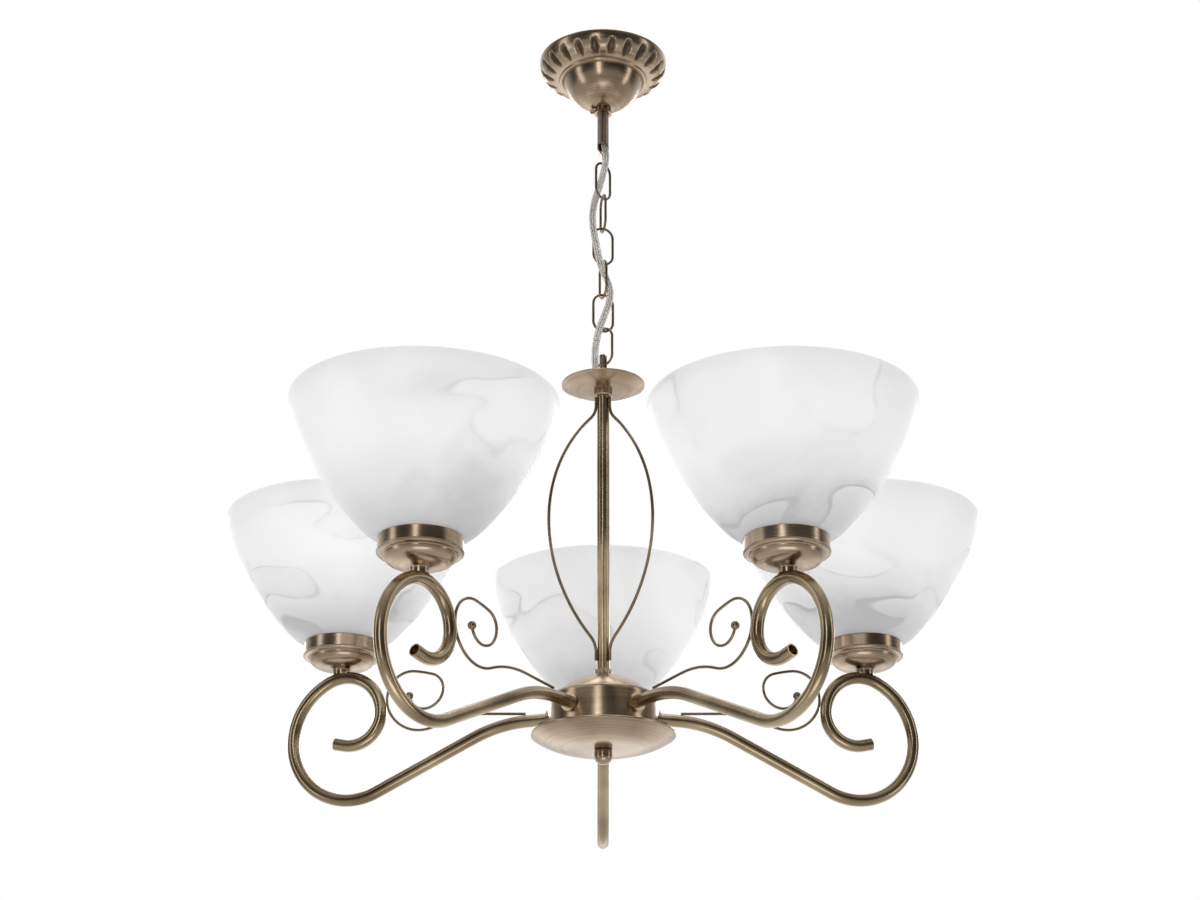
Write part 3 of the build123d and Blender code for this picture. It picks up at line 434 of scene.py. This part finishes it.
for source, out, target, name in (
    ("in", "Radius", "ring", "Radius"), ("in", "Sides", "ring", "Resolution"),
    ("in", "Geometry", "sweep", "Curve"),
    ("ring", "Curve", "sweep", "Profile Curve"), ("sweep", "Mesh", "smooth", "Geometry"),
    ("in", "Drop", "place", "Z"), ("in", "Turn", "turn", "Z"),
    ("place", "Vector", "move", "Translation"),
    ("turn", "Vector", "move", "Rotation"), ("smooth", "Geometry", "move", "Geometry"),
    ("move", "Geometry", "real", "Geometry"), ("real", "Geometry", "paint", "Geometry"),
    ("in", "Finish", "paint", "Material"), ("paint", "Geometry", "out", "Geometry"),
):
    tree.links.new(wiring[source].outputs[out], wiring[target].inputs[name])


def swept_wire(name, paths, finish, **values):
    """Mesh object of the swept_wire tree on the given paths, each a list of points."""
    data = bpy.data.curves.new(name, "CURVE")
    data.dimensions = "3D"
    for path in paths:
        spline = data.splines.new("POLY")
        spline.points.add(len(path) - 1)
        for point, at in zip(spline.points, path):
            point.co = (*at, 1)
    source = bpy.data.objects.new(name + "_path", data)
    scene.collection.objects.link(source)
    modifier = source.modifiers.new("swept_wire", "NODES")
    modifier.node_group = tree
    keys = {item.name: item.identifier for item in tree.interface.items_tree
        if item.in_out == "INPUT"}
    modifier[keys["Finish"]] = finish
    for key, value in values.items():
        modifier[keys[key]] = value
    mesh = made_mesh(source)
    bpy.data.objects.remove(source)
    mesh.name = name
    piece = bpy.data.objects.new(name, mesh)
    scene.collection.objects.link(piece)
    return piece


def arc(centre, radius, start, turn, steps):
    """Points of an arc in the upright plane; angles are degrees from outward."""
    angles = (math.radians(start + turn * k / steps) for k in range(steps + 1))
    return [(centre[0] + radius * math.cos(a), 0, centre[1] + radius * math.sin(a)) for a in angles]


# Chain links: round wire bent to a long loop and butted at one side, each turned on the last.
link_length, link_width, link_wire, seam = 0.0395, 0.0214, 0.0012, 0.0003
bend, half = link_width / 2 - link_wire, (link_length - link_width) / 2
eye_z, eye_hole, eye_play = -0.1086, 0.0035, 0.0007
first_top = eye_z - eye_hole + eye_play + 2 * link_wire
link_pitch = link_length - 4 * link_wire - 0.0002
link_path = [(bend, 0, seam / 2)] + arc((0, half), bend, 0, 180, 28)
link_path += arc((0, -half), bend, 180, 180, 28) + [(bend, 0, -seam / 2)]
for number, turn in enumerate((46, 104, 20, 109, 18, -30), start=1):
    middle = first_top - link_pitch * (number - 1) - link_length / 2
    link = swept_wire(
        f"chain_link_{number}", [link_path], wire_brass, Radius=link_wire, Sides=18, Drop=middle,
        Turn=math.radians(turn),
    )
    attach(link, f"link_{number}_body")
    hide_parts(f"link_{number}")

# Bowed wires: three round wires from the dish to the dome, held flat along the stem at both ends.
bow_end, bow_curl, bow_reach, bow_mid, bow_half = 0.00715, 0.020, 0.0533, -0.4785, 0.1175
bow_rise = bow_reach - bow_end
apart = (bow_half ** 2 + bow_rise ** 2) / (2 * bow_rise)
bow_big = apart - bow_curl
bow_angle = math.degrees(math.asin(bow_half / apart))
bow_path = [(bow_end, 0, -0.353)]
bow_path += arc((bow_end + bow_curl, bow_mid + bow_half), bow_curl, 180, bow_angle, 12)
bow_path += arc((bow_reach - bow_big, bow_mid), bow_big, bow_angle, -2 * bow_angle, 60)[1:]
bow_path += arc((bow_end + bow_curl, bow_mid - bow_half), bow_curl, 180 - bow_angle, bow_angle,
    12)[1:]
bow_path += [(bow_end, 0, -0.604)]
bow_turns = [Matrix.Rotation(math.radians(85 + 120 * n), 3, "Z") for n in range(3)]
bow_paths = [[bow_turn @ Vector(p) for p in bow_path] for bow_turn in bow_turns]
bows = swept_wire("bowed_wires", bow_paths, wire_brass, Radius=0.0014, Sides=16)
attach(bows, "fixture")
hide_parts("bow_wires")

# Arms: brass tube, level out of the hub, bent down and curled twice; the end is left open.
arm_azimuths, arm_z, arm_radius = (18, 90, 162, 234, 306), -0.65215, 0.0055
neck_rho, neck_bend = 0.0693, 0.124
loop_rho, loop_z, loop_bend, loop_turn = 0.2366, arm_z - 0.0001, 0.0582, 179
curl_bend, curl_turn, curl_in = 0.036, 117, 0.0222
tip_bend, tip_turn, tip_in = 0.028, 102, 0.008
reach, fall = loop_rho - neck_rho, loop_z - (arm_z - neck_bend)
lean = math.acos((neck_bend + loop_bend) / math.hypot(reach, fall))
slope = math.degrees(math.atan2(reach, fall) - lean)
arm_path = [(0.0415, 0, arm_z)] + arc((neck_rho, arm_z - neck_bend), neck_bend, 90, -slope, 14)
angle = -90 - slope
arm_path += arc((loop_rho, loop_z), loop_bend, angle, loop_turn, 72)
angle += loop_turn
centre = (loop_rho + curl_in * math.cos(math.radians(angle)),
    loop_z + curl_in * math.sin(math.radians(angle)))
arm_path += arc(centre, curl_bend, angle, curl_turn, 48)[1:]
angle += curl_turn
centre = (centre[0] + tip_in * math.cos(math.radians(angle)),
    centre[1] + tip_in * math.sin(math.radians(angle)))
arm_path += arc(centre, tip_bend, angle, tip_turn, 42)[1:]
angle += tip_turn
ahead = Vector((-math.sin(math.radians(angle)), 0, math.cos(math.radians(angle))))
arm_end = Vector(arm_path[-1]) + ahead * 0.009
arm_path.append(tuple(arm_end))
arm_wall, end_depth = 0.0011, 0.0085
for number, azimuth in enumerate(arm_azimuths, start=1):
    arm = swept_wire(
        f"curled_arm_{number}", [arm_path], tube_brass, Radius=arm_radius, Sides=32,
        Turn=math.radians(azimuth),
    )
    shape = bmesh.new()
    shape.from_mesh(arm.data)
    turn = Matrix.Rotation(math.radians(azimuth), 3, "Z")
    cap = min(shape.faces, key=lambda f: (f.calc_center_median() - turn @ arm_end).length)
    bmesh.ops.inset_region(shape, faces=[cap], thickness=arm_wall)
    deeper = bmesh.ops.extrude_face_region(shape, geom=[cap])["geom"]
    bmesh.ops.translate(shape, verts=[v for v in deeper if isinstance(v, bmesh.types.BMVert)],
        vec=turn @ ahead * -end_depth)
    bmesh.ops.delete(shape, geom=[cap], context="FACES_ONLY")
    shape.to_mesh(arm.data)
    shape.free()
    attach(arm, "fixture")
    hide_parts(f"arm_{number}")

# Cups: a ring with a rolled lip over a smaller bowl that draws in to a nipple on the arm's crown.
def cup_place(azimuth):
    """Where an arm's cup and shade stand."""
    return cup_rho * math.cos(math.radians(azimuth)), cup_rho * math.sin(math.radians(azimuth))


step, cup_rho = -0.57732, 0.250
cup = [(0.0, -0.01615), (0.00784, -0.01615), (0.00784, -0.0123), (0.0084, -0.0112),
    (0.0098, -0.0106), (0.0125, -0.0102)]
bowl = [Vector((r_at, 0, rise)) for r_at, rise in (
    (0.0098, -0.0106), (0.0125, -0.0102), (0.0175, -0.0096), (0.0225, -0.0084), (0.0262, -0.0066),
    (0.0286, -0.0043),
    (0.0299, -0.0020), (0.0303, -0.0008), (0.0304, 0.0),
)]
for a, b, c, d in zip(bowl, bowl[1:], bowl[2:], bowl[3:]):
    cup += [(p.x, p.z) for p in interpolate_bezier(b, b + (c - a) / 6, c - (d - b) / 6, c, 4)[1:]]
cup += [(0.0312, 0.0), (0.0334, 0.0001), (0.0345, 0.0004), (0.0352, 0.0010), (0.0355, 0.0018),
    (0.0352, 0.0026), (0.0347, 0.0032)]
cup += [(0.0347, 0.0134), (0.0343, 0.0140), (0.0335, 0.0140), (0.0335, 0.0012), (0.0250, 0.0012),
    (0.0240, -0.0050)]
cup += [(0.0170, -0.0086), (0.0, -0.0088)]
cup = [(r_at, step + rise) for r_at, rise in cup]
for number, azimuth in enumerate(arm_azimuths, start=1):
    piece = turned(f"shade_cup_{number}", cup, spun_brass, steps=112, at=cup_place(azimuth),
        closed=False)
    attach(piece, "fixture")
    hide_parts(f"cup_{number}")

# Scrolls: a wire that springs off the arm, humps, dips to the loop and curls back to a ball end.
scroll_path = [Vector((0.072, 0, arm_z + arm_radius + 0.0014)), Vector((0.111, 0, arm_z + 0.0104))]
heading = (scroll_path[1] - scroll_path[0]).normalized()
for rho, rise in (
    (0.157, 0.0034), (0.2004, 0.018), (0.2038, 0.038), (0.178, 0.056), (0.1605, 0.0518),
    (0.1504, 0.038),
    (0.165, 0.0205), (0.182, 0.031),
):
    here, there = scroll_path[-1], Vector((rho, 0, arm_z + rise))
    chord = there - here
    half_turn = math.atan2(chord.z, chord.x) - math.atan2(heading.z, heading.x)
    half_turn = (half_turn + math.pi) % (2 * math.pi) - math.pi
    radius = chord.length / (2 * math.sin(half_turn))
    centre = here + Vector((-heading.z, 0, heading.x)) * radius
    steps = max(6, int(abs(math.degrees(half_turn)) / 2))
    for k in range(1, steps + 1):
        part_way = Matrix.Rotation(-2 * half_turn * k / steps, 3, "Y")
        scroll_path.append(centre + part_way @ (here - centre))
    heading = Matrix.Rotation(-2 * half_turn, 3, "Y") @ heading
scroll_radius, ball_radius, ball_ahead = 0.00125, 0.0037, 0.00245
for number, azimuth in enumerate(arm_azimuths, start=1):
    scroll = swept_wire(
        f"scroll_wire_{number}", [scroll_path], wire_brass, Radius=scroll_radius, Sides=16,
        Turn=math.radians(azimuth),
    )
    shape = bmesh.new()
    shape.from_mesh(scroll.data)
    ball_turn = Matrix.Rotation(math.radians(azimuth), 4, "Z")
    ball_at = ball_turn @ Matrix.Translation(scroll_path[-1] + heading * ball_ahead)
    ball = bmesh.ops.create_uvsphere(shape, u_segments=24, v_segments=16, radius=ball_radius,
        matrix=ball_at)
    for face in {f for v in ball["verts"] for f in v.link_faces}:
        face.smooth = True
    shape.to_mesh(scroll.data)
    shape.free()
    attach(scroll, "fixture")
    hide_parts(f"scroll_{number}")

# Shades: bells of white alabaster glass, cloudy with thin grey veins, open and rounded at the rim.
# Painted shade greys them towards the base, and a faint glow of their own is painted light.
alabaster, start = new_material("alabaster_glass")
place = start.make("TexCoord", {}, out=3)
drift = start.make("TexNoise", {"Vector": place, "Scale": 5.0, "Detail": 2.0}, out=1)
drift = start.make("VectorMath", {0: drift, 1: (0.22, 0.22, 0.12)}, operation="MULTIPLY")
warped = start.make("VectorMath", {0: place, 1: drift}, operation="ADD")
swirl = start.make("Mapping", {"Vector": warped, "Rotation": (0.5, 0.3, 0.0),
    "Scale": (1.0, 1.0, 2.4)})
vein = start.make("TexNoise", {"Vector": swirl, "Scale": 6.5, "Detail": 1.5, "Roughness": 0.45})
ridge = start.make("Math", {0: vein - 0.5}, operation="ABSOLUTE")
thin = start.make("MapRange", {"Value": ridge, "From Min": 0.0, "From Max": 0.012, "To Min": 1.0,
    "To Max": 0.0})
veil = start.make("MapRange", {"Value": vein, "From Min": 0.5, "From Max": 0.62, "To Min": 1.0,
    "To Max": 0.0})
edge = start.make("MapRange", {"Value": vein, "From Min": 0.49, "From Max": 0.5})
cloud = start.make("TexNoise", {"Vector": warped, "Scale": 9.0, "Detail": 4.0, "Roughness": 0.55})
patch = start.make("MapRange", {"Value": cloud, "From Min": 0.38, "From Max": 0.66})
height = start.make("SeparateXYZ", {"Vector": place}, out=2)
# Painted shade: the colour is greyed towards the base of each bell, where the cup and lampholder
# shade it.
low = start.make("MapRange", {"Value": height, "From Min": -0.505, "From Max": -0.572,
    "To Min": 0.0, "To Max": 0.95})
tone = patch * 0.16 + veil * edge * patch * 0.32 + thin * patch * 0.42 + low
colour = start.make("ValToRGB", {"Fac": tone},
    stops=[(0, (0.84, 0.838, 0.838)), (0.5, (0.68, 0.677, 0.678)), (1, (0.44, 0.435, 0.436))])
finish_surface(start, {
    "Base Color": colour, "Roughness": cloud * 0.1 + 0.34, "IOR": 1.45,
    "Subsurface Weight": 0.35, "Subsurface Radius": (0.012, 0.012, 0.013), "Subsurface Scale": 1.0,
    "Coat Weight": 0.06, "Coat Roughness": 0.25,
    # Painted light: the glass glows faintly in its own colour, standing in for light passing
    # through it.
    "Emission Color": colour, "Emission Strength": 0.32,
})
seat, glass, neck = -0.57597, 0.0032, 0.0333
bell = [Vector((r_at, 0, seat + rise)) for r_at, rise in (
    (0.0333, 0.0110), (0.0336, 0.0127), (0.0375, 0.0143), (0.0420, 0.0166), (0.0468, 0.0202),
    (0.0527, 0.0260),
    (0.0597, 0.0340), (0.0680, 0.0440), (0.0766, 0.0560), (0.0857, 0.0700), (0.0947, 0.0850),
    (0.1016, 0.0980),
    (0.1066, 0.1100), (0.1098, 0.1200), (0.1109, 0.1265), (0.1110, 0.1307), (0.1110, 0.1340),
)]
outside = []
for a, b, c, d in zip(bell, bell[1:], bell[2:], bell[3:]):
    outside += interpolate_bezier(b, b + (c - a) / 6, c - (d - b) / 6, c, 6)[:-1]
outside.append(bell[-2])
inside = []
for before, here, after in zip(outside, outside[1:], outside[2:]):
    along = (after - before).normalized()
    inside.append(here - Vector((along.z, 0, -along.x)) * glass)
inside = [p for p in inside if p.x > neck - glass]
rim = (outside[-1] + Vector((outside[-1].x - glass, 0, outside[-1].z))) / 2
outline = [(0.0170, seat), (neck, seat), (neck, seat + 0.0112)] + [(p.x, p.z) for p in outside]
outline += [(rim.x + glass / 2 * math.cos(a),
    rim.z + glass / 2 * math.sin(a)) for a in (math.pi * k / 8 for k in range(1, 8))]
outline += [(p.x, p.z) for p in reversed(inside)] + [(neck - glass, seat + glass),
    (0.0170, seat + glass)]
for number, azimuth in enumerate(arm_azimuths, start=1):
    shade = turned(f"glass_shade_{number}", outline, alabaster, steps=144, at=cup_place(azimuth))
    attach(shade, "fixture")
    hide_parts(f"shade_{number}")

# Hidden fittings: zinc-plated steel strap, nipple, nuts, screws and rod, cast and drawn pieces
# with a fine crystalline plating, and moulded plastic lampholders and terminal blocks.
zinc, start = new_material("zinc_plated_steel")
place = start.make("TexCoord", {}, out=3)
spangle = start.make("TexVoronoi", {"Vector": place, "Scale": 260.0}, out=1)
grey = start.make("TexNoise", {"Vector": place, "Scale": 60.0, "Detail": 4.0})
finish_surface(start, {
    "Base Color": start.make("ValToRGB", {"Fac": grey},
        stops=[(0.3, (0.42, 0.43, 0.44)), (0.7, (0.68, 0.69, 0.70))]),
    "Metallic": 1.0, "Roughness": grey * 0.2 + 0.28,
    "Normal": start.make("Bump", {"Height": spangle, "Strength": 0.06, "Distance": 0.0002}),
})
rod = turned("inner_rod", [(0.0, -0.3388), (0.002, -0.3388), (0.002, -0.6895), (0.0, -0.6895)],
    zinc, steps=32, closed=False)
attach(rod, "fixture")
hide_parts("tie_rod")
give_finish(("crossbar", "nipple", "lock_nuts", "earth_screw"), zinc)


def moulded(name, colour, roughness):
    """Moulded plastic with a fine matt grain."""
    material, start = new_material(name)
    place = start.make("TexCoord", {}, out=3)
    grain = start.make("TexNoise", {"Vector": place, "Scale": 1400.0, "Detail": 2.0})
    broad = start.make("TexNoise", {"Vector": place, "Scale": 45.0, "Detail": 3.0})
    darker = tuple(c * 0.86 for c in colour)
    finish_surface(start, {
        "Base Color": start.make("ValToRGB", {"Fac": broad},
            stops=[(0.35, darker), (0.65, colour)]),
        "Roughness": broad * 0.12 + roughness,
        "Normal": start.make("Bump", {"Height": grain, "Strength": 0.15, "Distance": 0.0001}),
    })
    return material


holder_plastic = moulded("holder_plastic", (0.80, 0.78, 0.72), 0.34)
terminal_plastic = moulded("terminal_plastic", (0.74, 0.75, 0.73), 0.38)
lead_sleeve = moulded("lead_sleeve", (0.62, 0.60, 0.56), 0.3)
give_finish([f"lampholder_{n}" for n in range(1, 6)] + ["shade_rings"], holder_plastic)
give_finish(("terminal_block", "hub_terminal_block"), terminal_plastic)
give_finish(("arm_wires",), lead_sleeve)

# Room: a pale floor well below the light and a world that is white to the camera and dimmer in
# reflections. Soft boxes stand in front, at both sides, above and below; one lights the floor.
floor_z, light_middle = -2.3, (0, 0, -0.45)
floor_paint, start = new_material("floor_paint")
place = start.make("TexCoord", {}, out=3)
mottle = start.make("TexNoise", {"Vector": place, "Scale": 3.0, "Detail": 4.0})
finish_surface(start, {
    "Base Color": start.make("ValToRGB", {"Fac": mottle},
        stops=[(0, (0.80, 0.80, 0.80)), (1, (0.84, 0.84, 0.84))]),
    "Roughness": 0.6,
})
floor_mesh = bpy.data.meshes.new("floor")
floor_corners = [(x, y, floor_z) for x, y in ((-9, -9), (9, -9), (9, 9), (-9, 9))]
floor_mesh.from_pydata(floor_corners, [], [(0, 1, 2, 3)])
floor_mesh.materials.append(floor_paint)
floor = bpy.data.objects.new("floor", floor_mesh)
scene.collection.objects.link(floor)

world = bpy.data.worlds.new("studio")
world.use_nodes = True
world.node_tree.nodes.clear()
sky = Tone(world.node_tree)
ray = sky.make("LightPath", {})
through = sky.make("LightPath", {}, out=6)
toward = sky.make("TexCoord", {}, out=0)
behind = sky.make("VectorMath", {0: toward, 1: (0.0, 1.0, 0.0)}, out=1, operation="DOT_PRODUCT")
above = sky.make("VectorMath", {0: toward, 1: (0.0, 0.0, 1.0)}, out=1, operation="DOT_PRODUCT")
behind = sky.make("MapRange", {"Value": behind, "From Min": 0.15, "From Max": 0.7, "To Min": 0.0,
    "To Max": 0.75})
above = sky.make("MapRange", {"Value": above, "From Min": 0.35, "From Max": 0.9, "To Min": 0.0,
    "To Max": 0.45})
level = 0.07 + behind + above
seen = sky.make("Math", {0: ray, 1: through}, operation="MAXIMUM")
strength = seen + (1 - seen) * level
background = sky.make("Background", {"Color": (1, 1, 1, 1), "Strength": strength})
sky.make("OutputWorld", {"Surface": background})
scene.world = world

for name, place, size, power, target in (
    ("front_box", (-0.55, -2.6, -0.35), (0.42, 2.0), 9, light_middle),
    ("left_box", (-2.0, -0.7, -0.25), (0.5, 2.4), 6, light_middle),
    ("right_box", (2.1, -0.5, -0.25), (0.4, 2.4), 6.5, light_middle),
    ("top_box", (0.1, 0.1, 1.3), (1.5, 1.3), 12, light_middle),
    ("low_box", (0.1, -1.3, -2.1), (1.4, 0.6), 4.5, light_middle),
    ("floor_box", (0, 5.2, 0.9), (6.0, 3.0), 240, (0, 5.2, floor_z)),
):
    lamp = bpy.data.lights.new(name, "AREA")
    lamp.shape = "RECTANGLE"
    lamp.size, lamp.size_y = size
    lamp.energy = power
    box = bpy.data.objects.new(name, lamp)
    box.location = place
    box.rotation_euler = (Vector(target) - Vector(place)).to_track_quat("-Z", "Y").to_euler()
    box.visible_camera = False
    scene.collection.objects.link(box)
scene.view_settings.view_transform = "Standard"
